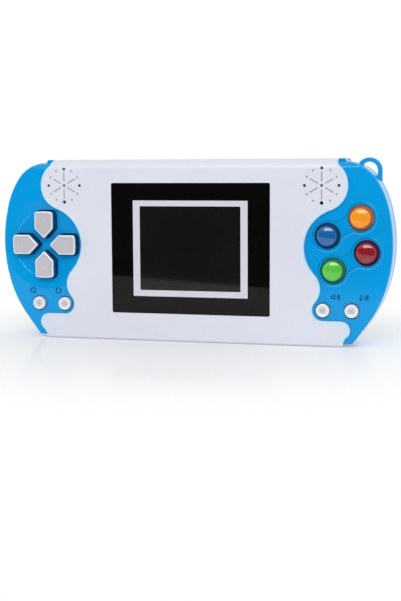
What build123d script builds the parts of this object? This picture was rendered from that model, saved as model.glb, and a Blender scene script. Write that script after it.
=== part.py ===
from build123d import *
from math import cos, radians, sin, sqrt
import os

# A handheld game console, standing on its long bottom edge. X is to the right of someone
# who faces the screen, Y runs from the front to the back, and Z is up. The origin is the
# middle of the bottom edge, halfway through the thickness. All sizes are in millimetres.

# The case as a whole: the wings reach out from the lens's sides
wing_reach = 46.4
front_half_depth = 11.0
wall = 1.8
lip_height = 1.1
seat_gap = 0.1
overrun = 5.0

# The blue wing outline, right side, as shares of the half width and of the height
wing_top_shares = ((1.0, 0.541), (0.972, 0.763), (0.914, 0.897), (0.839, 0.9655), (0.796, 0.982))
wing_foot_shares = ((1.0, 0.541), (0.970, 0.317), (0.874, 0.113))
wing_toe_shares = (0.809, 0.017)
wing_step = 1.0
wing_roll_radius = 2.6
wing_edge_radius = 0.7
wing_back_radius = 6.0

# The ridge beside the white cover, on top of each wing
ridge_width = 2.5
ridge_setback = 2.8
shoulder_back_radius = 4.0

# The white front cover
cover_wall = 1.6
cover_roll_radius = 4.0
cover_foot_radius = 1.2
cover_edge_radius = 0.8
cover_top_inset = 20.9
cover_foot_inset = 18.2
cover_neck_radius = 2.0
cover_ankle_radius = 1.0
pod_radius = 10.0
lobe_margin = 1.56
waist_radius = 8.0
lower_lobe_radius = 4.0
foot_radius = 3.55
foot_inset = 19.1
foot_turn_end = -60.0
stake_radius = 1.0
stake_head = 0.4
stake_inset = 6.0
stake_lift = 15.0

# The speaker grilles, pressed into the cover
grille_inset = 26.65
grille_drop = 10.1
grille_ring_radius = 6.5
grille_ring_count = 12
grille_hole_radius = 0.72
grille_dot_radius = 0.6
grille_speck_radius = 0.42
grille_dot_depth = 0.6
grille_speck_depth = 0.25
grille_groove_depth = 0.22
grille_groove_width = 0.55
grille_groove_start = 1.6
grille_groove_end = 5.2
grille_groove_angles = (30, 90, 150, 210, 270, 330)

# The deck behind the cover, and the window in it
deck_wall = 2.0
lens_width = 63.4
lens_height = 50.8
lens_height_share = 0.513
lens_corner_radius = 0.6
lens_sink = 0.1
window_width = 44.0
window_height = 36.0

# The direction keys
pad_inset = 18.4
pad_dish_radius = 13.4
pad_step_depth = 0.35
pad_step_edge = 0.3
pad_dish_depth = 0.45
key_width = 7.7
key_tip_gap = 2.5
key_reach = 12.9
key_crown = 0.35
key_corner_radius = 1.1
key_shoulder_radius = 0.5
key_edge_radius = 0.5
key_rise = 3.2
key_gap = 0.55

# The action buttons, in two slanting pairs
action_inset = 17.1
action_lift = 1.4
pair_spacing = 14.3
pair_tilt = 28.4
column_spacing = 13.25
column_tilt = -80.2
action_hole_radius = 4.95
action_gap = 0.3
action_cap_radius = 3.8
action_cap_edge = 0.9
action_crown = 0.9
action_rise = 3.0
action_collar_sink = 0.2
pair_recess_radius = 5.7
pair_waist_width = 6.4
pair_recess_depth = 0.45
pair_recess_blend = 2.4
pair_recess_edge = 0.3

# The four small round buttons
small_inner_inset = 26.0
small_outer_inset = 15.1
small_height = 13.9
small_drop = 23.6
small_hole_radius = 3.1
small_gap = 0.55
small_rise = 1.3
small_rim_width = 0.55
small_dish_depth = 0.45

# How every key is held and how far it travels
key_travel = 1.0
flange_thickness = 0.8
flange_reach = 0.9
flange_gap = 0.05

# The display stack and the circuit board
gasket_thickness = 0.4
glass_margin = 3.0
glass_thickness = 1.1
backlight_thickness = 1.2
backlight_margin = 1.0
board_thickness = 1.2
board_gap = 1.0
board_fit = 0.3
ribbon_width = 18.0
ribbon_length = 6.0
ribbon_thickness = 0.25

# The rubber mats under the keys
mat_clear = 0.1
mat_inner_inset = 33.3
mat_foot = 10.0
mat_drop = 15.5
mat_gap = 0.3
key_dome_radius = 2.4
small_dome_radius = 1.8
dome_top_share = 0.75

# The speakers
speaker_radius = 7.0
speaker_drop = 1.3
speaker_rim = 1.1
speaker_can_depth = 3.4
speaker_magnet_radius = 4.0
speaker_magnet_depth = 1.4
speaker_ring_wall = 0.9
speaker_ring_depth = 2.0
speaker_fit = 0.1

# The screws: the case's from behind, the board's from inside
case_screw_shares = ((0.845, 0.845), (0.487, 0.507), (0.732, 0.099))
case_boss_radius = 2.7
case_head_radius = 2.1
case_head_height = 1.5
case_head_room = 0.35
case_head_sink = 2.4
case_shank_radius = 1.1
case_shank_length = 9.0
rear_boss_wall = 0.9
screw_fit = 0.05
case_hole_fit = 0.1
board_screw_shares = ((0.461, 0.887), (0.461, 0.1155))
board_post_radius = 2.2
board_head_radius = 1.7
board_head_height = 1.1
board_shank_radius = 0.9
board_shank_length = 2.6

# The battery bay, its cells, contacts and door
cell_radius = 5.15
cell_length = 43.3
cell_nub_radius = 1.9
cell_nub_length = 1.0
cell_count = 3
cell_gap = 0.3
bay_wall = 1.2
bay_floor = 1.0
bay_drop = 4.7
plate_thickness = 0.4
plate_half_width = 3.6
leaf_rise = 3.4
tail_width = 2.4
door_wall = 1.6
door_margin = 1.6
door_rim = 0.4
door_fit = 0.2
door_cell_gap = 0.1
door_top_reach = 4.4
rail_reach = 1.0
rail_thickness = 0.8
leg_thickness = 0.8
grip_count = 4
grip_spacing = 1.9
grip_width = 0.8
grip_length = 14.0
grip_depth = 0.4
grip_lift = 6.0

# The strap loop on the right-hand shoulder
loop_inset = 10.5
loop_drop = 4.6
loop_radius = 4.85
loop_band = 1.6
loop_front_y = 2.0
loop_thickness = 2.4
loop_leg = 4.2

# What is soldered to the back of the board
chip_radius = 6.0
chip_height = 1.6
chip_shares = (0.487, 0.282)
capacitor_radius = 2.5
capacitor_height = 6.0
capacitor_shares = ((-0.461, 0.282), (-0.544, 0.282))

# The layers from the front to the back: the cells set how deep the case is
layers = [wing_step, deck_wall, gasket_thickness, glass_thickness, backlight_thickness]
layers += [board_thickness, bay_floor, door_cell_gap, 2 * cell_radius, door_cell_gap, door_wall]
case_depth = sum(layers)
front_y = -case_depth / 2
back_y = case_depth / 2
parting_y = front_y + front_half_depth
cover_back_y = front_y + cover_wall
wing_face_y = front_y + wing_step
deck_back_y = wing_face_y + deck_wall
gasket_back_y = deck_back_y + gasket_thickness
glass_back_y = gasket_back_y + glass_thickness
board_front_y = glass_back_y + backlight_thickness
board_back_y = board_front_y + board_thickness
bay_floor_y = board_back_y + bay_floor
cell_y = bay_floor_y + door_cell_gap + cell_radius
door_inner_y = back_y - door_wall
rail_back_y = door_inner_y - door_fit
rail_front_y = rail_back_y - rail_thickness
foot_back_y = rail_front_y - door_fit
foot_front_y = foot_back_y - rail_thickness
tray_floor_y = foot_front_y - door_fit
flange_front_y = deck_back_y + flange_gap
flange_back_y = flange_front_y + flange_thickness
mat_front_y = flange_back_y + key_travel + mat_clear
ridge_front_y = wing_face_y + ridge_setback
case_head_y = back_y - case_head_sink - case_head_height
case_shank_y = case_head_y - case_shank_length
board_shank_y = board_back_y - board_shank_length

# The cover's pods and lobes touch, which sets the keys' place and the case's height
lobe_radius = key_reach + key_crown + lobe_margin
pad_drop = sqrt((pod_radius + lobe_radius) ** 2 - (grille_inset - pad_inset) ** 2)
case_half_width = lens_width / 2 + wing_reach
case_height = grille_drop + pad_drop + small_drop + small_height

# Places across the face of the case
cover_top_half_width = case_half_width - cover_top_inset
cover_foot_half_width = case_half_width - cover_foot_inset
ridge_outer_x = cover_top_half_width + ridge_width
stake_half_spacing = lens_width / 2 + stake_inset
grille_half_spacing = case_half_width - grille_inset
grille_height = case_height - grille_drop
speaker_z = grille_height - speaker_drop
lens_centre_z = lens_height_share * case_height
pad_centre_x = pad_inset - case_half_width
pad_centre_z = small_height + small_drop
action_centre_x = case_half_width - action_inset
action_centre_z = pad_centre_z + action_lift
small_inner_x = case_half_width - small_inner_inset
small_outer_x = case_half_width - small_outer_inset
loop_centre_x = case_half_width - loop_inset
loop_centre_z = case_height - loop_drop

# The battery bay across the back of the case
bay_half_length = (cell_length + cell_nub_length + leaf_rise) / 2 + plate_thickness
bay_outer_x = bay_half_length + bay_wall
bay_top_z = case_height - bay_drop
bay_bottom_z = bay_top_z - cell_count * (2 * cell_radius + cell_gap) - cell_gap
rail_outer_x = bay_outer_x + rail_reach
leg_inner_x = rail_outer_x + door_fit
leg_outer_x = leg_inner_x + leg_thickness
door_half_width = leg_outer_x + door_rim
door_bottom_z = bay_bottom_z - bay_wall - door_margin


def slab(outline, near_y, far_y):
    """A flat outline, drawn with X to the right and Z up, made solid between two depths."""
    plane = Plane(origin=(0, far_y, 0), x_dir=(1, 0, 0), z_dir=(0, -1, 0))
    return extrude(plane * outline, amount=far_y - near_y)


def bar(profile, left_x, right_x):
    """A side profile, drawn with Y to the right and Z up, made solid between two places in X."""
    plane = Plane(origin=(left_x, 0, 0), x_dir=(0, 1, 0), z_dir=(1, 0, 0))
    return extrude(plane * profile, amount=right_x - left_x)


def span(left, bottom, right, top):
    """A rectangle from its lower left corner to its upper right one."""
    return Pos((left + right) / 2, (bottom + top) / 2) * Rectangle(right - left, top - bottom)


def post(x, z, radius, near_y, far_y):
    """A round post along the depth of the case."""
    return slab(Pos(x, z) * Circle(radius), near_y, far_y)


def taper(x, z, near_radius, far_radius, near_y, far_y):
    """A post whose radius changes from front to back."""
    profile = Polygon(
        (0, near_y), (near_radius, near_y), (far_radius, far_y), (0, far_y), align=None
    )
    return Pos(x, 0, z) * revolve(profile, Axis.Y)


def on_side(side, shape):
    """A shape drawn on the right, as it is or mirrored to the left."""
    return shape if side > 0 else mirror(shape, about=Plane.YZ)


def both_sides(shape):
    """A shape and its mirror image across the middle of the case."""
    return shape + on_side(-1, shape)


def spread(shares):
    """The point that has given shares of the case's half width and of its height."""
    return (shares[0] * case_half_width, shares[1] * case_height)


def arc_round(centre, start, end):
    """The shorter arc about a centre, from one point to another at the same distance."""
    centre, start, end = Vector(*centre), Vector(*start), Vector(*end)
    radius = (start - centre).length
    middle = centre + ((start - centre) + (end - centre)).normalized() * radius
    return ThreePointArc(start, middle, end)


def tangent_run(points, heading):
    """Arcs through the points, each leaving along the end of the one before."""
    run = []
    for start, end in zip(points, points[1:]):
        arc = TangentArc(start, end, tangent=heading)
        heading = arc % 1
        run.append(arc)
    return run


def rounded(face, place, radius):
    """A flat face with its corner nearest to a place rounded off."""
    corner = face.vertices().sort_by_distance(Vector(*place))[0]
    return fillet(corner, radius)


def wing_outline():
    """The outline that both halves of the case share, without the ridges."""
    top = [spread(s) for s in wing_top_shares]
    foot = [spread(s) for s in wing_foot_shares]
    toe = spread(wing_toe_shares)
    edges = tangent_run(top, (0, 1)) + tangent_run(foot, (0, -1))
    edges += [Line(foot[-1], toe), Line(toe, (0, toe[1]))]
    edges += [Line((0, toe[1]), (0, top[-1][1])), Line((0, top[-1][1]), top[-1])]
    return both_sides(make_face(edges))


def between(first, second, reach):
    """The point at a given reach from one centre towards another."""
    first, second = Vector(*first), Vector(*second)
    return first + (second - first).normalized() * reach


def touching_centre(first, first_reach, second, second_reach):
    """The centre, on the inner side, that stands at given distances from two others."""
    first, second = Vector(*first), Vector(*second)
    apart = (second - first).length
    along = (first_reach**2 - second_reach**2 + apart**2) / (2 * apart)
    aside = sqrt(first_reach**2 - along**2)
    heading = (second - first).normalized()
    return first + heading * along + Vector(heading.Y, -heading.X) * aside


def cover_outline():
    """The white cover's wavy outline, a chain of circles that touch each other."""
    pod = (grille_half_spacing, grille_height)
    lobe = (-pad_centre_x, pad_centre_z)
    lower = (small_inner_x, small_height)
    foot = (case_half_width - foot_inset, small_height - lower_lobe_radius - foot_radius)
    waist = touching_centre(
        lobe, lobe_radius + waist_radius, lower, lower_lobe_radius + waist_radius
    )
    neck_rise = sqrt(pod_radius**2 - (cover_top_half_width - pod[0]) ** 2)
    neck = (cover_top_half_width, pod[1] + neck_rise)
    lobe_start = between(pod, lobe, pod_radius)
    lobe_end = between(lobe, waist, lobe_radius)
    waist_end = between(waist, lower, waist_radius)
    lower_end = (lower[0], lower[1] - lower_lobe_radius)
    foot_start = (foot[0], foot[1] + foot_radius)
    turn = radians(foot_turn_end)
    foot_end = (foot[0] + foot_radius * cos(turn), foot[1] + foot_radius * sin(turn))
    ankle = (cover_foot_half_width, foot_end[1] / 2)
    half = make_face(
        [
            Line((0, case_height), (cover_top_half_width, case_height)),
            Line((cover_top_half_width, case_height), neck),
            arc_round(pod, neck, lobe_start),
            arc_round(lobe, lobe_start, lobe_end),
            arc_round(waist, lobe_end, waist_end),
            arc_round(lower, waist_end, lower_end),
            Line(lower_end, foot_start),
            arc_round(foot, foot_start, foot_end),
            Line(foot_end, ankle),
            Line(ankle, (cover_foot_half_width, 0)),
            Line((cover_foot_half_width, 0), (0, 0)),
            Line((0, 0), (0, case_height)),
        ]
    )
    half = rounded(half, neck, cover_neck_radius)
    half = rounded(half, foot_end, cover_ankle_radius)
    return both_sides(half)


def rolled_profile(near_y, top_z, foot_z, top_radius, foot_radius):
    """A side profile whose front edges are rolled back at the top and at the foot."""
    profile = span(near_y, foot_z, back_y, top_z)
    profile = rounded(profile, (near_y, top_z), top_radius)
    return rounded(profile, (near_y, foot_z), foot_radius)


outline = wing_outline()
cover_face = cover_outline()
wing_top_z = spread(wing_top_shares[-1])[1]
wing_foot_z = spread(wing_toe_shares)[1]
case_screw_places = [spread(shares) for shares in case_screw_shares]
board_screw_places = [spread(shares) for shares in board_screw_shares]
lens_face = RectangleRounded(lens_width, lens_height, lens_corner_radius)
lens_face = Pos(0, lens_centre_z) * lens_face
window_face = Pos(0, lens_centre_z) * Rectangle(window_width, window_height)


# The white front cover: a wavy plate that wraps over the top and under the foot
def grille_cut(side):
    """What is pressed into one speaker pod: a ring of dots round six spokes."""
    x, z = side * grille_half_spacing, grille_height
    cut = post(x, z, grille_dot_radius, front_y, front_y + grille_dot_depth)
    quarter = grille_ring_count // 4
    for step in range(grille_ring_count):
        angle = radians(360 * step / grille_ring_count)
        dot_x = x + grille_ring_radius * cos(angle)
        dot_z = z + grille_ring_radius * sin(angle)
        if step == quarter * 3:
            cut += post(dot_x, dot_z, grille_hole_radius, front_y, cover_back_y)
        elif step % quarter == 0:
            cut += post(dot_x, dot_z, grille_dot_radius, front_y, front_y + grille_dot_depth)
        else:
            cut += post(dot_x, dot_z, grille_speck_radius, front_y, front_y + grille_speck_depth)
    half_groove = grille_groove_width / 2
    groove = span(grille_groove_start, -half_groove, grille_groove_end, half_groove)
    for angle in grille_groove_angles:
        placed = Pos(x, z) * Rot(0, 0, angle) * groove
        cut += slab(placed, front_y, front_y + grille_groove_depth)
    return cut


def stake_places():
    """Where the cover's four stakes pass through the deck."""
    low, high = stake_lift, case_height - stake_lift
    return [(side * stake_half_spacing, z) for side in (-1, 1) for z in (low, high)]


def rim_edges(solid, inner_x, near_y, roll_radius, flat_top_z):
    """The front edges beyond an inner place in X: the flat front's, and those of the roll."""
    edges = []
    for edge in solid.edges():
        middle = edge @ 0.5
        rolled = middle.Z > flat_top_z and middle.Y < near_y + roll_radius
        flat = max((edge @ 0).Y, (edge @ 1).Y) < near_y + wall
        if abs(middle.X) > inner_x and (rolled or flat):
            edges.append(edge)
    return edges


def front_cover():
    solid = slab(cover_face, front_y, parting_y)
    profile = rolled_profile(front_y, case_height, 0, cover_roll_radius, cover_foot_radius)
    solid &= bar(profile, -case_half_width, case_half_width)
    flat_top_z = case_height - cover_roll_radius
    rim = rim_edges(solid, lens_width / 2, front_y, cover_roll_radius, flat_top_z)
    solid = fillet(rim, cover_edge_radius)
    core = span(-case_half_width, cover_wall, case_half_width, case_height - cover_wall)
    solid -= slab(core, cover_back_y, parting_y)
    solid -= slab(offset(lens_face, seat_gap), front_y, cover_back_y)
    for side in (-1, 1):
        solid -= grille_cut(side)
    for x, z in stake_places():
        solid += post(x, z, stake_radius, cover_back_y, deck_back_y + stake_head)
    return solid


# The screen's lens lies in the cover's opening, glued to the deck
def screen_lens():
    return slab(lens_face, front_y + lens_sink, cover_back_y)


# The keys' outlines and places, which the deck, the keys and the mats share
def pentagon():
    """One direction key's outline, pointing down to the centre of the pad."""
    half = key_width / 2
    shoulder = key_tip_gap + half
    face = make_face(
        [
            Line((0, key_tip_gap), (half, shoulder)),
            Line((half, shoulder), (half, key_reach)),
            ThreePointArc((half, key_reach), (0, key_reach + key_crown), (-half, key_reach)),
            Line((-half, key_reach), (-half, shoulder)),
            Line((-half, shoulder), (0, key_tip_gap)),
        ]
    )
    for side in (-1, 1):
        face = rounded(face, (side * half, key_reach), key_corner_radius)
        face = rounded(face, (side * half, shoulder), key_shoulder_radius)
    return rounded(face, (0, key_tip_gap), key_shoulder_radius)


key_face = pentagon()
key_turns = {"up": 0, "left": 90, "down": 180, "right": 270}


def key_place(turn):
    return Pos(pad_centre_x, pad_centre_z) * Rot(0, 0, turn)


def key_middle(turn):
    """The middle of one direction key, where its rubber dome stands."""
    reach = (key_tip_gap + key_reach) / 2
    angle = radians(turn)
    return (pad_centre_x - reach * sin(angle), pad_centre_z + reach * cos(angle))


def action_places():
    """The action buttons' centres: left, top, bottom and right."""
    pair = Vector(cos(radians(pair_tilt)), sin(radians(pair_tilt))) * (pair_spacing / 2)
    column = Vector(cos(radians(column_tilt)), sin(radians(column_tilt))) * (column_spacing / 2)
    centre = Vector(action_centre_x, action_centre_z)
    left, top = centre - pair - column, centre + pair - column
    bottom, right = centre - pair + column, centre + pair + column
    return {"left": left, "top": top, "bottom": bottom, "right": right}


small_places = {
    "power": (-small_outer_x, small_height),
    "reset": (-small_inner_x, small_height),
    "sound": (small_inner_x, small_height),
    "start": (small_outer_x, small_height),
}
actions = action_places()


def pair_recess(first, second):
    """The shallow dumbbell-shaped hollow round two action buttons."""
    centre = (first + second) / 2
    waist = Rectangle((second - first).length, pair_waist_width)
    shape = Pos(centre.X, centre.Y) * Rot(0, 0, pair_tilt) * waist
    shape += Pos(first.X, first.Y) * Circle(pair_recess_radius)
    shape += Pos(second.X, second.Y) * Circle(pair_recess_radius)
    inner = [v for v in shape.vertices() if (v.center() - centre).length < pair_spacing / 2]
    return fillet(inner, pair_recess_blend)


# The blue front shell: both wings, the deck between them, and its walls
def ridge_face():
    """The ridge on the right wing's top, seen from the front, with its hollow flank."""
    low = wing_top_z - wall
    rise = case_height - wing_top_z
    outer = ridge_outer_x + rise
    bend = rise * (1 - cos(radians(45)))
    return make_face(
        [
            Line((cover_top_half_width, low), (cover_top_half_width, case_height)),
            Line((cover_top_half_width, case_height), (ridge_outer_x, case_height)),
            ThreePointArc(
                (ridge_outer_x, case_height),
                (ridge_outer_x + bend, wing_top_z + bend),
                (outer, wing_top_z),
            ),
            Line((outer, wing_top_z), (outer, low)),
            Line((outer, low), (cover_top_half_width, low)),
        ]
    )


def cover_seat():
    """The room that the cover takes out of the front shell, with its clearance."""
    face = offset(cover_face, seat_gap)
    wrapped = cover_wall + seat_gap
    core = span(-case_half_width, wrapped, case_half_width, case_height - wrapped)
    seat = slab(face, front_y - overrun, cover_back_y)
    return seat + slab(face - core, front_y, parting_y + overrun)


def key_openings():
    """Every opening in the deck that a key or a button comes through."""
    cut = None
    for turn in key_turns.values():
        hole = key_place(turn) * offset(key_face, key_gap)
        hole = slab(hole, wing_face_y - overrun, deck_back_y + overrun)
        cut = hole if cut is None else cut + hole
    for place in actions.values():
        cut += post(place.X, place.Y, action_hole_radius, wing_face_y, deck_back_y + overrun)
    for x, z in small_places.values():
        cut += post(x, z, small_hole_radius, wing_face_y - overrun, deck_back_y + overrun)
    return cut


def lip_face(clearance):
    """The lip round each wing, by which the rear shell registers in the front one."""
    ring = offset(outline, clearance - wall / 2) - offset(outline, -wall)
    return ring & both_sides(span(ridge_outer_x, 0, case_half_width, case_height))


def wing_blank():
    """The front shell's outer form, rolled at the top and softened round its rim."""
    radii = (wing_roll_radius, wing_edge_radius)
    profile = rolled_profile(wing_face_y, wing_top_z, wing_foot_z, *radii)
    solid = slab(outline, wing_face_y, parting_y)
    solid &= bar(profile, -case_half_width, case_half_width)
    flat_top_z = wing_top_z - wing_roll_radius
    rim = rim_edges(solid, cover_foot_half_width, wing_face_y, wing_roll_radius, flat_top_z)
    solid = fillet(rim, wing_edge_radius)
    return solid + slab(both_sides(ridge_face()), ridge_front_y, parting_y)


def softened(solid, face, y, radius):
    """A solid with the edges rounded that lie along a flat outline at a given depth."""
    border = Plane(origin=(0, y, 0), x_dir=(1, 0, 0), z_dir=(0, -1, 0)) * face
    border = border.wire()
    level = [edge for edge in solid.edges() if abs((edge @ 0.5).Y - y) < seat_gap]
    return fillet([edge for edge in level if border.distance_to(edge @ 0.5) < seat_gap], radius)


def case_boss(x, z):
    """A boss for one of the case's screws, with its pilot hole."""
    boss = post(x, z, case_boss_radius, deck_back_y, parting_y - seat_gap)
    return boss - post(x, z, case_shank_radius + screw_fit, case_shank_y - screw_fit, parting_y)


def board_post(x, z):
    """A post that one of the board's screws goes into."""
    peg = post(x, z, board_post_radius, deck_back_y, board_front_y)
    return peg - post(x, z, board_shank_radius + screw_fit, board_shank_y - screw_fit, board_front_y)


def front_shell():
    solid = wing_blank() - cover_seat()
    solid -= slab(offset(outline, -wall), deck_back_y, parting_y + overrun)
    solid -= slab(lip_face(seat_gap), parting_y - lip_height - seat_gap, parting_y)
    pad_step = Pos(pad_centre_x, pad_centre_z) * Circle(pad_dish_radius)
    pad_floor_y = wing_face_y + pad_step_depth
    solid -= slab(pad_step, wing_face_y, pad_floor_y)
    solid = softened(solid, pad_step, wing_face_y, pad_step_edge)
    dish_radius = (pad_dish_radius**2 + pad_dish_depth**2) / (2 * pad_dish_depth)
    dish_y = pad_floor_y + pad_dish_depth - dish_radius
    solid -= Pos(pad_centre_x, dish_y, pad_centre_z) * Sphere(dish_radius)
    for first, second in (("left", "top"), ("bottom", "right")):
        recess = pair_recess(actions[first], actions[second])
        solid -= slab(recess, wing_face_y, wing_face_y + pair_recess_depth)
        solid = softened(solid, recess, wing_face_y, pair_recess_edge)
    solid -= key_openings()
    solid -= slab(window_face, cover_back_y, deck_back_y)
    for x, z in stake_places():
        solid -= post(x, z, stake_radius + seat_gap, cover_back_y, deck_back_y)
    for side in (-1, 1):
        x = side * grille_half_spacing
        solid -= post(x, speaker_z, speaker_radius - speaker_rim, cover_back_y, deck_back_y)
        ring = Pos(x, speaker_z) * Circle(speaker_radius + speaker_fit + speaker_ring_wall)
        ring -= Pos(x, speaker_z) * Circle(speaker_radius + speaker_fit)
        solid += slab(ring, deck_back_y, deck_back_y + speaker_ring_depth)
        for place_x, place_z in case_screw_places:
            solid += case_boss(side * place_x, place_z)
        for place_x, place_z in board_screw_places:
            solid += board_post(side * place_x, place_z)
    return solid


# The keys: each has a flange behind the deck that keeps it in
def direction_key(turn):
    top_y = wing_face_y - key_rise
    solid = slab(key_place(turn) * key_face, top_y, flange_front_y)
    solid = fillet(solid.faces().sort_by(Axis.Y)[0].edges(), key_edge_radius)
    flange = offset(key_face, flange_reach)
    return solid + slab(key_place(turn) * flange, flange_front_y, flange_back_y)


def turned(x, z, profile):
    """A round key: a profile of radius and depth, turned about its own axis."""
    return Pos(x, 0, z) * revolve(profile, Axis.Y)


def flanged(radius, shoulder_y, flange_radius):
    """The lower half of a round key's profile, from its shoulder down to its flange."""
    profile = span(0, shoulder_y, radius, flange_front_y)
    return profile + span(0, flange_front_y, flange_radius, flange_back_y)


def action_button(place):
    top_y = wing_face_y - action_rise
    collar_y = wing_face_y + pair_recess_depth + action_collar_sink
    crown_y = top_y + action_crown
    cap = make_face(
        [
            ThreePointArc(
                (-action_cap_radius, crown_y), (0, top_y), (action_cap_radius, crown_y)
            ),
            Line((action_cap_radius, crown_y), (action_cap_radius, collar_y)),
            Line((action_cap_radius, collar_y), (-action_cap_radius, collar_y)),
            Line((-action_cap_radius, collar_y), (-action_cap_radius, crown_y)),
        ]
    )
    for side in (-1, 1):
        cap = rounded(cap, (side * action_cap_radius, crown_y), action_cap_edge)
    cap &= span(0, top_y, action_cap_radius, collar_y)
    collar_radius = action_hole_radius - action_gap
    flange_radius = action_hole_radius + flange_reach
    return turned(place.X, place.Y, cap + flanged(collar_radius, collar_y, flange_radius))


def small_button(x, z):
    radius = small_hole_radius - small_gap
    top_y = wing_face_y - small_rise
    profile = flanged(radius, top_y, small_hole_radius + flange_reach)
    profile = rounded(profile, (radius, top_y), small_rim_width / 2)
    dish_half = radius - small_rim_width
    dish_radius = (dish_half**2 + small_dish_depth**2) / (2 * small_dish_depth)
    profile -= Pos(0, top_y + small_dish_depth - dish_radius) * Circle(dish_radius)
    return turned(x, z, profile)


# The rubber mats: a sheet on the board, with a dome under every key
def key_mat(side, domes):
    inner = case_half_width - mat_inner_inset
    sheet = span(inner, mat_foot, case_half_width, case_height - mat_drop)
    sheet &= offset(outline, -wall - board_gap)
    speaker_clear = speaker_radius + speaker_fit + speaker_ring_wall + mat_gap
    sheet -= Pos(grille_half_spacing, speaker_z) * Circle(speaker_clear)
    for x, z in case_screw_places:
        sheet -= Pos(x, z) * Circle(case_boss_radius + mat_gap)
    solid = slab(on_side(side, sheet), mat_front_y, board_front_y)
    for x, z, radius in domes:
        top = radius * dome_top_share
        solid += taper(x, z, top, radius, flange_back_y + flange_gap, mat_front_y)
    return solid


# The display: gasket, glass and backlight, one behind another on the deck's back
def display_face(margin):
    """A rectangle that stands a margin beyond the deck's window on every side."""
    return offset(window_face, margin, kind=Kind.INTERSECTION)


glass_face = display_face(glass_margin)
backlight_face = display_face(glass_margin + backlight_margin)


def lcd_ribbon():
    top_z = lens_centre_z - window_height / 2 - glass_margin - backlight_margin
    face = span(-ribbon_width / 2, top_z - ribbon_length, ribbon_width / 2, top_z)
    return slab(face, board_front_y - ribbon_thickness, board_front_y)


# The circuit board, with holes for the case's bosses and the speakers
def main_board():
    face = offset(outline, -wall - board_gap)
    for side in (-1, 1):
        face -= Pos(side * grille_half_spacing, speaker_z) * Circle(speaker_radius + board_fit)
        for x, z in case_screw_places:
            face -= Pos(side * x, z) * Circle(case_boss_radius + board_fit)
        for x, z in board_screw_places:
            face -= Pos(side * x, z) * Circle(board_shank_radius + screw_fit)
    return slab(face, board_front_y, board_back_y)


def game_chip():
    """The black drop of resin over the game chip, on the back of the board."""
    sphere = (chip_radius**2 + chip_height**2) / (2 * chip_height)
    profile = Pos(0, board_back_y + chip_height - sphere) * Circle(sphere)
    profile &= span(0, board_back_y, chip_radius, board_back_y + chip_height)
    return turned(*spread(chip_shares), profile)


def speaker(side):
    x = side * grille_half_spacing
    can_y = deck_back_y + speaker_can_depth
    can = post(x, speaker_z, speaker_radius, deck_back_y, can_y)
    return can + post(x, speaker_z, speaker_magnet_radius, can_y, can_y + speaker_magnet_depth)


# The blue rear shell, with the battery bay moulded into it
def rear_form(inset):
    """The rear half's outer form, drawn in by an inset on every side."""
    face = offset(outline, -inset) if inset else outline
    wings = slab(face, parting_y, back_y - inset)
    wings = fillet(wings.faces().sort_by(Axis.Y)[-1].edges(), wing_back_radius - inset)
    side = ridge_outer_x - inset
    shoulder = slab(span(-side, inset, side, case_height - inset), parting_y, back_y - inset)
    back_edges = shoulder.faces().sort_by(Axis.Y)[-1].edges().filter_by(Axis.X)
    return wings + fillet(back_edges, shoulder_back_radius - inset)


cell_heights = [
    bay_bottom_z + cell_gap + cell_radius + step * (2 * cell_radius + cell_gap)
    for step in range(cell_count)
]


def end_face(way, half_height):
    """The strip of a bay's end that a contact takes, seen from behind and drawn round Z zero."""
    strip = span(bay_half_length - plate_thickness, -half_height, bay_half_length, half_height)
    return on_side(way, strip)


def battery_bay():
    """The bay and the shallow tray round it, which the door's feet run in."""
    side = door_half_width + door_fit
    low = door_bottom_z - door_fit
    tray = span(-side - bay_wall, low - bay_wall, side + bay_wall, case_height)
    solid = slab(tray, tray_floor_y - bay_wall, back_y)
    solid -= slab(span(-side, low, side, case_height + overrun), tray_floor_y, back_y)
    box = span(-bay_outer_x, bay_bottom_z - bay_wall, bay_outer_x, case_height)
    solid += slab(box, parting_y, back_y)
    solid &= rear_form(wall / 2)
    well = span(-bay_outer_x, bay_bottom_z - bay_wall, bay_outer_x, bay_top_z + bay_wall)
    solid += slab(well, board_back_y, parting_y)
    for way in (-1, 1):
        rail = span(bay_outer_x - bay_wall / 2, bay_bottom_z, rail_outer_x, bay_top_z)
        solid += slab(on_side(way, rail), rail_front_y, rail_back_y)
    room = span(-bay_half_length, bay_bottom_z, bay_half_length, bay_top_z)
    solid -= slab(room, bay_floor_y, back_y)
    for way, z in ((-1, cell_heights[0]), (1, cell_heights[-1])):
        slot = offset(end_face(way, tail_width / 2), door_fit)
        solid -= slab(Pos(0, z) * slot, board_back_y, bay_floor_y)
    return solid


def rear_boss(x, z):
    """A hollow boss that takes one of the case's screws from behind."""
    room = case_head_radius + case_head_room
    solid = post(x, z, room + rear_boss_wall, parting_y, back_y - wall / 2)
    solid -= post(x, z, room, case_head_y, back_y)
    return solid - post(x, z, case_shank_radius + case_hole_fit, parting_y, case_head_y)


def rear_shell():
    solid = rear_form(0) - rear_form(wall) + battery_bay()
    solid += slab(lip_face(0), parting_y - lip_height, parting_y)
    side = door_half_width + door_fit
    opening = span(-side, door_bottom_z - door_fit, side, case_height + overrun)
    opening = slab(opening, back_y - door_top_reach - door_fit, back_y + overrun)
    solid -= opening - rear_form(door_wall + door_fit)
    for side in (-1, 1):
        for x, z in case_screw_places:
            solid -= post(side * x, z, case_head_radius + case_head_room, case_head_y, back_y)
            solid += rear_boss(side * x, z)
    return solid


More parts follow.
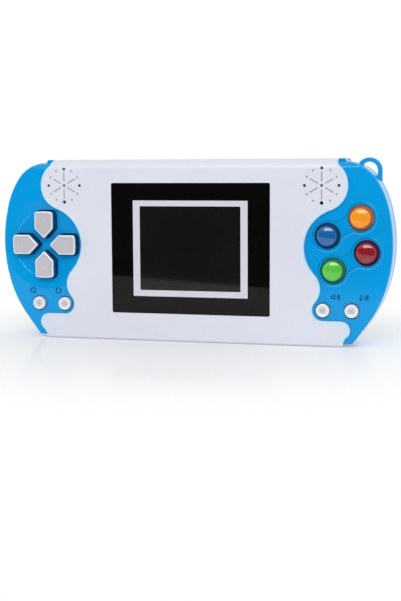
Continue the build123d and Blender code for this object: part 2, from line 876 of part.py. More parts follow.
# The battery door slides up, with its feet behind the bay's rails
def battery_door():
    zone = span(-door_half_width, door_bottom_z, door_half_width, case_height + overrun)
    solid = rear_form(0) - rear_form(door_wall)
    solid &= slab(zone, back_y - door_top_reach, back_y)
    for way in (-1, 1):
        leg = span(leg_inner_x, bay_bottom_z, leg_outer_x, bay_top_z)
        foot = span(bay_outer_x + door_fit, bay_bottom_z, leg_outer_x, bay_top_z)
        solid += slab(on_side(way, leg), foot_back_y, door_inner_y)
        solid += slab(on_side(way, foot), foot_front_y, foot_back_y)
    for step in range(grip_count):
        z = door_bottom_z + grip_lift + step * grip_spacing
        groove = Pos(0, z) * SlotOverall(grip_length, grip_width)
        solid -= slab(groove, back_y - grip_depth, back_y)
    return solid


# The cells lie in a row, turned end for end, each between a plate and a leaf spring
def battery_cell(step):
    way = 1 if step % 2 == 0 else -1
    z = cell_heights[step]
    tip_x = bay_half_length - plate_thickness
    nub_x = tip_x - cell_nub_length
    plane = Plane(origin=(way * tip_x, cell_y, z), x_dir=(0, 1, 0), z_dir=(-way, 0, 0))
    nub = extrude(plane * Circle(cell_nub_radius), amount=cell_nub_length)
    plane = Plane(origin=(way * nub_x, cell_y, z), x_dir=(0, 1, 0), z_dir=(-way, 0, 0))
    return nub + extrude(plane * Circle(cell_radius), amount=cell_length)


def contact_plate(way, step):
    """A flat contact on the bay's end wall, with a tail to the board at the two ends."""
    solid = slab(end_face(way, plate_half_width), bay_floor_y, cell_y + plate_half_width)
    if (way, step) in ((-1, 0), (1, cell_count - 1)):
        solid += slab(end_face(way, tail_width / 2), board_back_y, bay_floor_y)
    return Pos(0, 0, cell_heights[step]) * solid


def contact_leaf(way, step):
    """The bowed leaf that presses on a cell's flat end."""
    root_x = bay_half_length - plate_thickness
    crest_x = root_x - leaf_rise
    half = plate_half_width
    bow = ThreePointArc((root_x, -half), (crest_x, 0), (root_x, half))
    half -= plate_thickness
    crest_x += plate_thickness
    hollow = ThreePointArc((root_x, -half), (crest_x, 0), (root_x, half))
    face = make_face([bow, hollow, Line(bow @ 0, hollow @ 0), Line(bow @ 1, hollow @ 1)])
    place = Pos(0, cell_y, cell_heights[step] - tail_width / 2)
    return extrude(place * on_side(way, face), amount=tail_width)


def contacts(positive):
    """The contacts at the cells' nubs, or the sprung ones at their flat ends."""
    solids = []
    for step in range(cell_count):
        nub_way = 1 if step % 2 == 0 else -1
        way = nub_way if positive else -nub_way
        plate = contact_plate(way, step)
        solids.append(plate if positive else plate + contact_leaf(way, step))
    return Compound(children=solids)


# The strap loop stands on the right-hand shoulder of the rear shell
def strap_loop():
    band = Pos(loop_centre_x, loop_centre_z) * Circle(loop_radius)
    leg = span(loop_centre_x, loop_centre_z - loop_leg, loop_centre_x + loop_radius, loop_centre_z)
    inner = loop_radius - loop_band
    hole = Pos(loop_centre_x, loop_centre_z) * Circle(inner)
    hole += span(loop_centre_x, loop_centre_z - loop_leg, loop_centre_x + inner, loop_centre_z)
    solid = slab(band + leg - hole, loop_front_y, loop_front_y + loop_thickness)
    return solid - rear_form(0)


# The screws, in their two sizes
def screw(x, z, head_radius, head_y, head_height, shank_radius, shank_y):
    head = post(x, z, head_radius, head_y, head_y + head_height)
    return head + post(x, z, shank_radius, shank_y, head_y)


def screw_set(places, *sizes):
    """Alike screws on both sides of the case, as one group."""
    return Compound(children=[screw(way * x, z, *sizes) for way in (-1, 1) for x, z in places])


def capacitors():
    """The two upright capacitors on the back of the board."""
    top_y = board_back_y + capacitor_height
    places = [spread(shares) for shares in capacitor_shares]
    cans = [post(x, z, capacitor_radius, board_back_y, top_y) for x, z in places]
    return Compound(children=cans)


case_screw_sizes = (case_head_radius, case_head_y, case_head_height, case_shank_radius, case_shank_y)
board_screw_sizes = (
    board_head_radius, board_back_y, board_head_height, board_shank_radius, board_shank_y
)
nodes = {
    "front_cover": front_cover(),
    "front_shell": front_shell(),
    "rear_shell": rear_shell(),
    "battery_door": battery_door(),
    "strap_loop": strap_loop(),
    "screen_lens": screen_lens(),
    "lcd_gasket": slab(glass_face - window_face, deck_back_y, gasket_back_y),
    "lcd_glass": slab(glass_face, gasket_back_y, glass_back_y),
    "lcd_backlight": slab(backlight_face, glass_back_y, board_front_y),
    "lcd_ribbon": lcd_ribbon(),
    "main_board": main_board(),
    "game_chip": game_chip(),
    "capacitors": capacitors(),
    "battery_cells": Compound(children=[battery_cell(step) for step in range(cell_count)]),
    "battery_plates": contacts(True),
    "battery_springs": contacts(False),
    "case_screws": screw_set(case_screw_places, *case_screw_sizes),
    "board_screws": screw_set(board_screw_places, *board_screw_sizes),
}
for name, turn in key_turns.items():
    nodes[f"direction_key_{name}"] = direction_key(turn)
for name, place in actions.items():
    nodes[f"action_button_{name}"] = action_button(place)
for name, place in small_places.items():
    nodes[f"{name}_button"] = small_button(*place)
left_domes = [(*key_middle(turn), key_dome_radius) for turn in key_turns.values()]
right_domes = [(place.X, place.Y, key_dome_radius) for place in actions.values()]
for name, side, domes in (("left", -1, left_domes), ("right", 1, right_domes)):
    domes += [(x, z, small_dome_radius) for x, z in small_places.values() if x * side > 0]
    nodes[f"{name}_key_mat"] = key_mat(side, domes)
    nodes[f"{name}_speaker"] = speaker(side)

os.makedirs("parts", exist_ok=True)
for name, shape in nodes.items():
    export_step(shape, f"parts/{name}.step")
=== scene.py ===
import math

import bmesh
import bpy
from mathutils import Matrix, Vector


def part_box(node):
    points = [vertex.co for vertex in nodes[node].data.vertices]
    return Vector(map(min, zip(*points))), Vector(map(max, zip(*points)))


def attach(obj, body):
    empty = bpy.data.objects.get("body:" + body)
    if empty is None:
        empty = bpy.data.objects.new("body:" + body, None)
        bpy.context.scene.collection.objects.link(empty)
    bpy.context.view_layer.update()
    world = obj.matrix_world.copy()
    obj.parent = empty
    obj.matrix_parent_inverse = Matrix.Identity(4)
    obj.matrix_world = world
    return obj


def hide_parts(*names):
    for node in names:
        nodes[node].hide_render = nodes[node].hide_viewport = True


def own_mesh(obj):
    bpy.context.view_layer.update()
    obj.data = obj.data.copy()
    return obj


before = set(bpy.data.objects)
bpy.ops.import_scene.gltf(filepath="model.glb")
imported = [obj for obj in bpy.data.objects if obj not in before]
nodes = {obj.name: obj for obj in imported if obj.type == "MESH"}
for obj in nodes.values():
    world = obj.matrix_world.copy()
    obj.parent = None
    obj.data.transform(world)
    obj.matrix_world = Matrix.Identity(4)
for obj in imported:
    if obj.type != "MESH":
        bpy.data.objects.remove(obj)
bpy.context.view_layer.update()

# The white front cover is one injection moulding in glossy ABS, with the faint waviness and
# fine haze of a polished mould. It rolls back over the top edge and the foot, and four pins
# on its back, melted over behind the deck, hold it on the blue housing.
MM = 0.001
cover_white = (0.715, 0.73, 0.815)
cover_white_shade = (0.69, 0.705, 0.795)
tone_size, tone_detail = 30 * MM, 3
tone_low, tone_high = 0.32, 0.68
haze_size, haze_detail = 4 * MM, 4
haze_low, haze_high = 0.8, 1.25
grain_strength, grain_detail = 0.35, 2


def noise(tree, size, detail):
    """Noise in the piece's own space, with features of a given size."""
    place = tree.nodes.new("ShaderNodeTexCoord")
    texture = tree.nodes.new("ShaderNodeTexNoise")
    texture.inputs["Scale"].default_value = 1 / size
    texture.inputs["Detail"].default_value = detail
    tree.links.new(place.outputs["Object"], texture.inputs["Vector"])
    return texture.outputs["Fac"]


def ranged(tree, value, source=(0, 1), target=(0, 1)):
    """A value carried over from one range to another."""
    node = tree.nodes.new("ShaderNodeMapRange")
    node.inputs["From Min"].default_value, node.inputs["From Max"].default_value = source
    node.inputs["To Min"].default_value, node.inputs["To Max"].default_value = target
    tree.links.new(value, node.inputs["Value"])
    return node.outputs["Result"]


def plastic(name, colour, shade, roughness, grain_size, grain_height):
    """A moulded plastic: slow shifts of tone and of haze, and a fine grain."""
    material = bpy.data.materials.new(name)
    material.use_nodes = True
    tree = material.node_tree
    shader = tree.nodes["Principled BSDF"]
    tone = tree.nodes.new("ShaderNodeValToRGB")
    tone.name = "tone"
    tone.color_ramp.elements[0].position = tone_low
    tone.color_ramp.elements[0].color = (*shade, 1)
    tone.color_ramp.elements[1].position = tone_high
    tone.color_ramp.elements[1].color = (*colour, 1)
    tree.links.new(noise(tree, tone_size, tone_detail), tone.inputs["Fac"])
    tree.links.new(tone.outputs["Color"], shader.inputs["Base Color"])
    hazes = (roughness * haze_low, roughness * haze_high)
    haze = ranged(tree, noise(tree, haze_size, haze_detail), target=hazes)
    tree.links.new(haze, shader.inputs["Roughness"])
    bump = tree.nodes.new("ShaderNodeBump")
    bump.inputs["Distance"].default_value = grain_height
    bump.inputs["Strength"].default_value = grain_strength
    tree.links.new(noise(tree, grain_size, grain_detail), bump.inputs["Height"])
    tree.links.new(bump.outputs["Normal"], shader.inputs["Normal"])
    return material


def dress(material, *names):
    """Gives CAD nodes a material, in each of their slots."""
    for name in names:
        for slot in nodes[name].material_slots:
            slot.material = material


white_abs = plastic("white_abs", cover_white, cover_white_shade, 0.34, 0.45 * MM, 0.006 * MM)
dress(white_abs, "front_cover")

# The cover's side edges end in a thin rolled lip, moulded with the cover. Its pale blue,
# brighter than the face, is a painted highlight with a painted reflection of the blue housing.
cover_low, cover_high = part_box("front_cover")
cover_back_y = -8.4 * MM
cover_roll_radius = 4.0 * MM
cover_foot_radius = 1.2 * MM
lip_radius = 0.62 * MM
lip_sink = 0.44 * MM
lip_end_inset = 0.7 * MM
weld_distance = 0.0001 * MM
flat_within = 0.002 * MM
round_steps = 12


def flat_loops(node, y):
    """The borders of a node's flat faces at a depth, each as points of x and z in order."""
    shape = bmesh.new()
    shape.from_mesh(nodes[node].data)
    bmesh.ops.remove_doubles(shape, verts=shape.verts, dist=weld_distance)
    flat = {
        face
        for face in shape.faces
        if all(abs(corner.co.y - y) < flat_within for corner in face.verts)
    }
    links = {}
    for edge in shape.edges:
        if sum(face in flat for face in edge.link_faces) == 1:
            first, second = edge.verts
            links.setdefault(first, []).append(second)
            links.setdefault(second, []).append(first)
    loops = []
    waiting = sorted(links, key=lambda corner: (corner.co.x, corner.co.z))
    done = set()
    for start in waiting:
        if start in done:
            continue
        loop = [start]
        ahead = links[start][0]
        while ahead != start:
            loop.append(ahead)
            ahead = next(corner for corner in links[ahead] if corner != loop[-2])
        done.update(loop)
        loops.append([(corner.co.x, corner.co.z) for corner in loop])
    shape.free()
    return loops


def side_path(loop, side):
    """The part of the outline down one side of the cover, from the top to the foot."""
    here = [(x, z) for x, z in loop if x * side > 0]
    top = max(here, key=lambda point: (round(point[1] / MM, 2), point[0] * side))
    foot = min(here, key=lambda point: (round(point[1] / MM, 2), -point[0] * side))
    first, last = loop.index(top), loop.index(foot)
    way_down = loop[first : last + 1] if first < last else loop[first:] + loop[: last + 1]
    way_back = loop[last : first + 1] if last < first else loop[last:] + loop[: first + 1]
    inner = [min(x * side for x, z in way) for way in (way_down, way_back)]
    path = way_down if inner[0] > inner[1] else list(reversed(way_back))
    above = (path[0][0], cover_high[2] - lip_end_inset)
    below = (path[-1][0], cover_low[2] + lip_end_inset)
    return [above, *path, below]


def lip_depth(x, z):
    """How deep the lip's middle lies at a point, over the cover's roll and its foot."""
    y = cover_low[1] + lip_sink
    over = z - (cover_high[2] - cover_roll_radius)
    under = cover_low[2] + cover_foot_radius - z
    if over > 0:
        y += cover_roll_radius - math.sqrt(cover_roll_radius**2 - over**2)
    elif under > 0:
        y += cover_foot_radius - math.sqrt(cover_foot_radius**2 - under**2)
    return y


def mesh_piece(name, points, faces, material):
    """A mesh object from its corner points and faces."""
    mesh = bpy.data.meshes.new(name)
    mesh.from_pydata(points, [], faces)
    mesh.validate()
    piece = bpy.data.objects.new(name, mesh)
    bpy.context.collection.objects.link(piece)
    mesh.materials.append(material)
    return piece


def round_line(name, path, radius, depth_at, material, side=1, inset=0, tip=1):
    """A round line along a path of x and z, set in from it, that thins over its tip points."""
    points = []
    for k, (x, z) in enumerate(path):
        before, after = path[max(k - 1, 0)], path[min(k + 1, len(path) - 1)]
        along = Vector((after[0] - before[0], 0, after[1] - before[1])).normalized()
        inward = Vector((along.z, 0, -along.x)) * side
        centre = Vector((x, depth_at(x, z), z)) + inward * inset
        girth = radius * min(1, (1 + min(k, len(path) - 1 - k)) / tip)
        for step in range(round_steps):
            angle = 2 * math.pi * step / round_steps
            out = inward * math.cos(angle) + Vector((0, 1, 0)) * math.sin(angle)
            points.append(tuple(centre + out * girth))
    faces = []
    for k in range(len(path) - 1):
        for step in range(round_steps):
            beside = (step + 1) % round_steps
            low, high = k * round_steps, (k + 1) * round_steps
            faces.append((low + step, low + beside, high + beside, high + step))
    faces.append(tuple(range(round_steps)))
    faces.append(tuple(reversed(range(len(points) - round_steps, len(points)))))
    piece = mesh_piece(name, points, faces, material)
    for face in piece.data.polygons:
        face.use_smooth = len(face.vertices) == 4
    return piece


# The lip's pale blue colour is a painted highlight and a painted reflection of the housing's blue.
lip_painted_highlight = plastic(
    "lip_painted_highlight", (0.56, 0.80, 0.97), (0.52, 0.77, 0.95), 0.14, 0.5 * MM, 0.002 * MM
)
cover_outline = max(
    flat_loops("front_cover", cover_back_y), key=lambda loop: max(x for x, z in loop)
)
for side, side_name in ((-1, "left"), (1, "right")):
    lip = round_line(
        f"cover_lip_{side_name}", side_path(cover_outline, side),
        lip_radius, lip_depth, lip_painted_highlight, side, inset=lip_radius,
    )
    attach(lip, "case")

# Each grille is pressed into the cover: a middle dot, spokes, and a ring of twelve dots, of
# which the lowest is a hole through to the speaker. Their floors carry painted shade: grey,
# dark and pale discs in the dots, a black disc in the hole, and pale strips in the spokes.
grille_ring_radius = 6.5 * MM
grille_lift = 1.3 * MM
ring_dots, lowest_dot, large_dot_every = 12, 9, 3
dot_radius, dot_depth = 0.6 * MM, 0.6 * MM
speck_radius, speck_depth = 0.42 * MM, 0.25 * MM
hole_radius, hole_depth = 0.72 * MM, 1.5 * MM
spoke_count = 6
spoke_start, spoke_end = 1.7 * MM, 5.1 * MM
spoke_half_width, spoke_depth = 0.2 * MM, 0.22 * MM
spoke_corners = ((spoke_start, -1), (spoke_end, -1), (spoke_end, 1), (spoke_start, 1))
floor_inset = 0.06 * MM
floor_steps = 20
# These greys on the hollows' floors are painted shade, darkest in the hole to the speaker.
painted_shade_colours = {
    "grey": ((0.20, 0.20, 0.22), (0.14, 0.14, 0.155), 0.7),
    "dark": ((0.07, 0.07, 0.075), (0.04, 0.04, 0.045), 0.7),
    "pale": ((0.42, 0.42, 0.46), (0.34, 0.34, 0.375), 0.7),
    "black": ((0.003, 0.003, 0.003), (0.002, 0.002, 0.002), 0.8),
}
painted_shade_materials = {
    name: plastic(f"floor_{name}", colour, shade, roughness, 0.2 * MM, 0.01 * MM)
    for name, (colour, shade, roughness) in painted_shade_colours.items()
}


def painted_shade_floor(name, x, z, radius, depth, material):
    """A disc of painted shade on the floor of a round hollow in the cover, sunk half into it."""
    y = cover_low[1] + depth - floor_inset
    points = []
    for front in (y, y + 2 * floor_inset):
        for step in range(floor_steps):
            angle = 2 * math.pi * step / floor_steps
            points.append((x + radius * math.cos(angle), front, z + radius * math.sin(angle)))
    faces = [tuple(reversed(range(floor_steps))), tuple(range(floor_steps, 2 * floor_steps))]
    for step in range(floor_steps):
        beside = (step + 1) % floor_steps
        faces.append((step, beside, beside + floor_steps, step + floor_steps))
    return mesh_piece(name, points, faces, material)


for side_name in ("left", "right"):
    speaker_low, speaker_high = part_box(f"{side_name}_speaker")
    grille_x = (speaker_low[0] + speaker_high[0]) / 2
    grille_z = (speaker_low[2] + speaker_high[2]) / 2 + grille_lift
    floors = [(0, 0, dot_radius, dot_depth, "grey")]
    for dot in range(ring_dots):
        angle = math.radians(360 / ring_dots * dot)
        at = (grille_ring_radius * math.cos(angle), grille_ring_radius * math.sin(angle))
        if dot == lowest_dot:
            floors.append((*at, hole_radius, hole_depth, "black"))
        elif dot % large_dot_every == 0:
            floors.append((*at, dot_radius, dot_depth, "dark"))
        else:
            floors.append((*at, speck_radius, speck_depth, "pale"))
    for number, (x, z, radius, depth, colour_name) in enumerate(floors):
        dot_floor = painted_shade_floor(
            f"{side_name}_grille_floor_{number}", grille_x + x, grille_z + z,
            radius - floor_inset, depth, painted_shade_materials[colour_name],
        )
        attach(dot_floor, "case")
    middle = Vector((grille_x, 0, grille_z))
    near_y = cover_low[1] + spoke_depth - floor_inset
    for spoke in range(spoke_count):
        angle = math.radians(360 / spoke_count * (spoke + 0.5))
        along = Vector((math.cos(angle), 0, math.sin(angle)))
        beside = Vector((-along.z, 0, along.x)) * spoke_half_width
        points = []
        for y in (near_y, near_y + 2 * floor_inset):
            for reach, way in spoke_corners:
                points.append(tuple(middle + along * reach + beside * way + Vector((0, y, 0))))
        faces = [(0, 1, 2, 3), (7, 6, 5, 4)]
        faces += [(k, k + 4, (k + 1) % 4 + 4, (k + 1) % 4) for k in range(4)]
        # The spoke grooves take the pale grey, a painted shade.
        groove = mesh_piece(
            f"{side_name}_grille_groove_{spoke}", points, faces, painted_shade_materials["pale"]
        )
        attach(groove, "case")

# The lens is a clear acrylic plate, printed black on its back, that is glued into the
# cover's opening. The print leaves the screen clear and puts a white frame round it.
lens_low, lens_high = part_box("screen_lens")
lens_centre = (0.1 * MM, (lens_low[2] + lens_high[2]) / 2)
frame_outer = (46.0 * MM, 37.4 * MM)
frame_inner = (40.4 * MM, 32.8 * MM)
frame_rise = 0.1 * MM
frame_corner = 0.25 * MM
corner_steps = 4
print_thickness = 0.012 * MM
print_gap = 0.006 * MM


def set_shader(material, socket, value):
    """Sets a value that is the same all over a material, on the shader's own socket."""
    material.node_tree.nodes["Principled BSDF"].inputs[socket].default_value = value


def rounded_rectangle(width, height, radius, rise=0):
    """The corners of a rectangle with rounded corners, anticlockwise, round zero."""
    points = []
    for quarter in range(4):
        turn = math.pi / 2 * quarter
        cx = (width / 2 - radius) * (1 if quarter in (0, 3) else -1)
        cz = (height / 2 - radius) * (1 if quarter in (0, 1) else -1) + rise
        for step in range(corner_steps + 1):
            angle = turn + math.pi / 2 * step / corner_steps
            points.append((cx + radius * math.cos(angle), cz + radius * math.sin(angle)))
    return points


def plate(name, outline, centre, front_y, thickness, material, hole=None):
    """A thin flat piece facing the front, perhaps with a hole of as many corners."""
    rings = [outline] if hole is None else [outline, hole]
    points = []
    for y in (front_y, front_y + thickness):
        for ring in rings:
            points += [(centre[0] + x, y, centre[1] + z) for x, z in ring]
    count = len(outline)
    layer = count * len(rings)
    faces = []
    for k in range(count):
        n = (k + 1) % count
        faces.append((k, n, n + layer, k + layer))
        if hole is not None:
            faces.append((n + count, k + count, k + count + layer, n + count + layer))
            faces.append((n, k, k + count, n + count))
            faces.append((k + layer, n + layer, n + count + layer, k + count + layer))
    if hole is None:
        faces.append(tuple(reversed(range(count))))
        faces.append(tuple(range(layer, layer + count)))
    return mesh_piece(name, points, faces, material)


lens_black = plastic(
    "lens_black", (0.0038, 0.0034, 0.0036), (0.003, 0.0026, 0.003), 0.03, 0.8 * MM, 0.0005 * MM
)
set_shader(lens_black, "IOR", 1.29)
dress(lens_black, "screen_lens")
print_white = plastic(
    "print_white", (0.66, 0.655, 0.73), (0.64, 0.635, 0.71), 0.22, 0.3 * MM, 0.002 * MM
)
frame_hole = rounded_rectangle(*frame_inner, frame_corner, frame_rise)
white_frame = plate(
    "lens_white_frame",
    rounded_rectangle(*frame_outer, frame_corner),
    lens_centre,
    lens_low[1] - print_gap - print_thickness,
    print_thickness,
    print_white,
    frame_hole,
)
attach(white_frame, "case")
screen_dark = plastic(
    "screen_dark", (0.0098, 0.0088, 0.009), (0.0072, 0.0064, 0.0068), 0.05, 0.6 * MM, 0.001 * MM
)
set_shader(screen_dark, "IOR", 1.36)
screen_pane = plate(
    "screen_pane",
    frame_hole,
    lens_centre,
    lens_low[1] - print_gap - print_thickness / 2,
    print_thickness / 2,
    screen_dark,
)
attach(screen_pane, "case")

# The housing under the cover is sky blue ABS: a front shell with both wings, polished, and
# a rear shell, battery door and strap loop with a fine spark-eroded grain.
blue_abs = plastic(
    "blue_abs", (0.0008, 0.325, 0.735), (0.0006, 0.31, 0.715), 0.13, 0.5 * MM, 0.004 * MM
)
set_shader(blue_abs, "IOR", 1.33)
dress(blue_abs, "front_shell")
blue_grained = plastic(
    "blue_grained", (0.003, 0.36, 0.76), (0.0025, 0.335, 0.72), 0.36, 0.22 * MM, 0.02 * MM
)
set_shader(blue_grained, "IOR", 1.3)
dress(blue_grained, "rear_shell", "battery_door", "strap_loop")

# Thin round lines in a lighter blue, a painted highlight, run along the wing round the left of
# the direction keys' dish, above and below the left key, and down the lower right of each
# pair of action buttons' recess.
key_ways = {"up": 90, "left": 180, "down": 270, "right": 0}
wing_face_y = -9.0 * MM
ray_start_y = -20 * MM
rim_radius = 0.15 * MM
rim_sink = 0.06 * MM
rim_tip = 4
dish_rim_radius = 13.4 * MM
dish_rim_arcs = {"upper": (118, 160), "lower": (200, 246)}
dish_rim_steps = 16
recess_pairs = {"upper": ("left", "top"), "lower": ("bottom", "right")}
recess_fewest_corners = 60
recess_side = Vector((0.75, -0.66))
recess_reach = -0.15
# The rims' lighter blue is a painted highlight.
painted_highlight_blue = plastic("painted_highlight_blue", (0.07, 0.52, 0.88), (0.05, 0.48, 0.85), 0.16, 0.5 * MM, 0.002 * MM)


def middle_of(names):
    """The middle of some nodes, as a point of x and z."""
    boxes = [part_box(name) for name in names]
    xs = [corner[0] for box in boxes for corner in box]
    zs = [corner[2] for box in boxes for corner in box]
    return (min(xs) + max(xs)) / 2, (min(zs) + max(zs)) / 2


def rim_depth(x, z):
    """How deep the rim's middle lies at a point, just under the front shell's surface."""
    hit, place = nodes["front_shell"].ray_cast((x, ray_start_y, z), (0, 1, 0))[:2]
    return (place.y if hit else wing_face_y) + rim_sink


def arc(radius, start, end, steps):
    """Points on an arc between two angles in degrees."""
    turns = [math.radians(start + (end - start) * k / steps) for k in range(steps + 1)]
    return [(radius * math.cos(turn), radius * math.sin(turn)) for turn in turns]


def recess_path(pair_x, pair_z):
    """The stretch of a recess's border, at the wing's face, that lies on the rim's side."""
    loop = min(
        (path for path in wing_loops if len(path) > recess_fewest_corners),
        key=lambda path: math.dist(
            (pair_x, pair_z),
            (sum(x for x, z in path) / len(path), sum(z for x, z in path) / len(path)),
        ),
    )
    keep = [
        Vector((x - pair_x, z - pair_z)).normalized().dot(recess_side) > recess_reach
        for x, z in loop
    ]
    first = next(k for k in range(len(loop)) if keep[k] and not keep[k - 1])
    path = []
    while keep[(first + len(path)) % len(loop)] and len(path) < len(loop):
        path.append(loop[(first + len(path)) % len(loop)])
    return path


rim_paths = {}
pad_x, pad_z = middle_of([f"direction_key_{way}" for way in key_ways])
for arc_name, (start, end) in dish_rim_arcs.items():
    points = arc(dish_rim_radius, start, end, dish_rim_steps)
    rim_paths[f"dish_rim_{arc_name}"] = [(pad_x + x, pad_z + z) for x, z in points]
wing_loops = flat_loops("front_shell", wing_face_y)
for pair_name, ways in recess_pairs.items():
    pair_middle = middle_of([f"action_button_{way}" for way in ways])
    rim_paths[f"recess_rim_{pair_name}"] = recess_path(*pair_middle)
for name, path in rim_paths.items():
    rim = round_line(name, path, rim_radius, rim_depth, painted_highlight_blue, tip=rim_tip)
    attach(rim, "case")

# Above each small button a plain sign in dark blue ink is pad-printed on the wing: a ring
# with a bar, a round arrow, a sound wedge, and a triangle with two bars.
ink_thickness = 0.012 * MM
ink_gap = 0.004 * MM
ink_width = 0.42 * MM
sign_lift = 5.1 * MM
sign_shift_left, sign_shift_right = -2.9 * MM, 4.6 * MM
sign_arc_steps = 14
signs_mm = {
    "power_button": [arc(1.05, 128, 412, sign_arc_steps), [(0, 0.25), (0, 1.45)]],
    "reset_button": [
        arc(1.05, 75, 380, sign_arc_steps),
        [(0.35, 0.55), (1.0, 0.35), (1.35, 0.95)],
    ],
    "sound_button": [
        [(-1.5, -0.4), (-1.5, 0.4)],
        [(-1.5, 0.4), (-0.95, 0.4), (-0.2, 1.05), (-0.2, -1.05), (-0.95, -0.4), (-1.5, -0.4)],
        [(0.35 + x, z) for x, z in arc(0.65, -50, 50, 6)],
        [(0.35 + x, z) for x, z in arc(1.25, -50, 50, 8)],
    ],
    "start_button": [
        [(-1.45, -1.0), (-1.45, 1.0), (-0.05, 0), (-1.45, -1.0), (-1.45, 0)],
        [(0.7, -1.0), (0.7, 1.0)],
        [(1.4, -1.0), (1.4, 1.0)],
    ],
}
ink_blue = plastic(
    "ink_blue", (0.002, 0.045, 0.15), (0.003, 0.06, 0.18), 0.4, 0.2 * MM, 0.004 * MM
)
set_shader(ink_blue, "IOR", 1.2)


def print_strip(name, path, centre):
    """A line of ink of even width along a path of points, on the wing's face."""
    count = len(path)
    outer, inner = [], []
    for k, (x, z) in enumerate(path):
        before, after = path[max(k - 1, 0)], path[min(k + 1, count - 1)]
        along = Vector((after[0] - before[0], after[1] - before[1])).normalized()
        outer.append((x - along.y * ink_width / 2, z + along.x * ink_width / 2))
        inner.append((x + along.y * ink_width / 2, z - along.x * ink_width / 2))
    y = wing_face_y - ink_gap
    points = [(centre[0] + x, y - ink_thickness, centre[1] + z) for x, z in outer + inner]
    points += [(centre[0] + x, y, centre[1] + z) for x, z in outer + inner]
    faces = []
    for k in range(count - 1):
        n = k + 1
        faces.append((k, n, n + count, k + count))
        faces.append((k + 2 * count, k + 3 * count, n + 3 * count, n + 2 * count))
        faces.append((k, k + 2 * count, n + 2 * count, n))
        faces.append((k + count, n + count, n + 3 * count, k + 3 * count))
    return mesh_piece(name, points, faces, ink_blue)


for node, strips in signs_mm.items():
    x, z = middle_of([node])
    shift = sign_shift_left if x < 0 else sign_shift_right
    for number, path in enumerate(strips):
        strip = print_strip(
            f"{node}_sign_{number}",
            [(along * MM, up * MM) for along, up in path],
            (x + shift, z + sign_lift),
        )
        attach(strip, "case")

# The direction keys are sprayed a satin silver on top. Their rounded rim is painted near white,
# a painted highlight, and their sides dark blue, a painted shade with a painted reflection of
# the blue wing. Each key has a fine raised chevron that points outwards, in a lighter silver
# that is a painted highlight.
key_top_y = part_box("direction_key_up")[0][1]
# The rim's near white is a painted highlight; the sides' dark blue is a painted shade with a
# painted reflection of the wing.
key_face_silver = (0.575, 0.56, 0.605)
key_rim_painted_highlight = (0.96, 0.98, 1.0)
key_side_painted_shade = (0.008, 0.10, 0.24)
chevron_half, chevron_width = 1.15 * MM, 0.3 * MM
chevron_rise, chevron_root = 0.07 * MM, 0.05 * MM
chevron_out = 0.6 * MM
chevron_corners = ((-1, 1), (0, 1), (1, 1), (1, -1), (0, -1), (-1, -1))


def by_depth(material, top_y, bands):
    """Colours a piece by how far behind its front it lies: (millimetres, colour) bands."""
    tree = material.node_tree
    place = tree.nodes.new("ShaderNodeTexCoord")
    split = tree.nodes.new("ShaderNodeSeparateXYZ")
    tree.links.new(place.outputs["Object"], split.inputs["Vector"])
    reach = bands[-1][0]
    depth = ranged(tree, split.outputs["Y"], source=(top_y, top_y + reach * MM))
    ramp = tree.nodes.new("ShaderNodeValToRGB")
    stops = ramp.color_ramp.elements
    while len(stops) < len(bands):
        stops.new(0.5)
    for stop, (at, colour) in zip(stops, bands):
        stop.position = at / reach
        stop.color = (*colour, 1)
    tree.links.new(depth, ramp.inputs["Fac"])
    mottle = tree.nodes.new("ShaderNodeMixRGB")
    mottle.blend_type = "MULTIPLY"
    mottle.inputs["Fac"].default_value = 1
    tree.links.new(ramp.outputs["Color"], mottle.inputs["Color1"])
    tree.links.new(tree.nodes["tone"].outputs["Color"], mottle.inputs["Color2"])
    shader = tree.nodes["Principled BSDF"]
    tree.links.new(mottle.outputs["Color"], shader.inputs["Base Color"])


key_silver = plastic("key_silver", (1, 1, 1), (0.93, 0.93, 0.94), 0.3, 0.12 * MM, 0.0025 * MM)
by_depth(
    key_silver,
    key_top_y,
    [
        (0, key_face_silver),
        (0.004, key_face_silver),
        (0.014, key_rim_painted_highlight),
        (0.40, key_rim_painted_highlight),
        (0.52, key_side_painted_shade),
        (2.0, key_side_painted_shade),
    ],
)
set_shader(key_silver, "Metallic", 0.15)
dress(key_silver, *[f"direction_key_{way}" for way in key_ways])
# The chevrons' lighter silver is a painted highlight on their low ridge.
chevron_painted_highlight = plastic(
    "chevron_painted_highlight", (0.69, 0.69, 0.73), (0.64, 0.64, 0.68), 0.3, 0.2 * MM, 0.004 * MM
)
for way, turn in key_ways.items():
    low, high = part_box(f"direction_key_{way}")
    out = Vector((math.cos(math.radians(turn)), 0, math.sin(math.radians(turn))))
    beside = Vector((-out.z, 0, out.x))
    middle = Vector(((low[0] + high[0]) / 2, low[1], (low[2] + high[2]) / 2)) + out * chevron_out
    points = []
    for y in (-chevron_rise, chevron_root):
        for along, width in chevron_corners:
            tip = (1 - abs(along)) * chevron_half + width * chevron_width / 2
            reach = beside * along * chevron_half + out * tip
            points.append(tuple(middle + reach + Vector((0, y, 0))))
    faces = [(0, 1, 4, 5), (1, 2, 3, 4), (11, 10, 7, 6), (10, 9, 8, 7)]
    faces += [(k, k + 6, (k + 1) % 6 + 6, (k + 1) % 6) for k in range(6)]
    chevron = mesh_piece(f"chevron_{way}", points, faces, chevron_painted_highlight)
    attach(chevron, f"direction_key_{way}")

